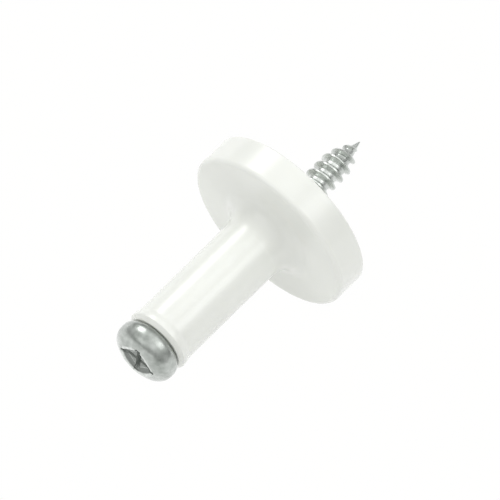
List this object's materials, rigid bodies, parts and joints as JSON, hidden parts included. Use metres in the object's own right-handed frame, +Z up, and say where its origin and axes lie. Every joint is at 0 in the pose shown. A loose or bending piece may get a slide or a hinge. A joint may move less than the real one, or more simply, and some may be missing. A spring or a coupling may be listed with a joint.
{
  "type": "stand-off wall anchor",
  "caption": "Flanged plastic stand-off sleeve with a pan-head cross-recess screw through its bore; the screw clamps the flange to a wall and the tube stands clear of it.",
  "frame": {"origin": "centre of the flange face that bears on the wall", "axes": "+Y into the wall along the screw, +Z up with the wall upright, +X to the right when facing the wall; the screw head is on the -Y side"},
  "size_m": [0.028, 0.0492, 0.028],
  "materials": {
    "sleeve_plastic": "white glossy moulded plastic",
    "plated_steel": "bright zinc plating over cold-formed steel"
  },
  "bodies": {
    "sleeve": {"sleeve": "sleeve_plastic"},
    "screw": {"screw": "plated_steel"}
  },
  "joints": [
    {"name": "screw_spin", "type": "hinge", "parent": "sleeve", "child": "screw", "pos_m": [0, 0, 0], "axis": [0, 1, 0], "continuous": true}
  ]
}
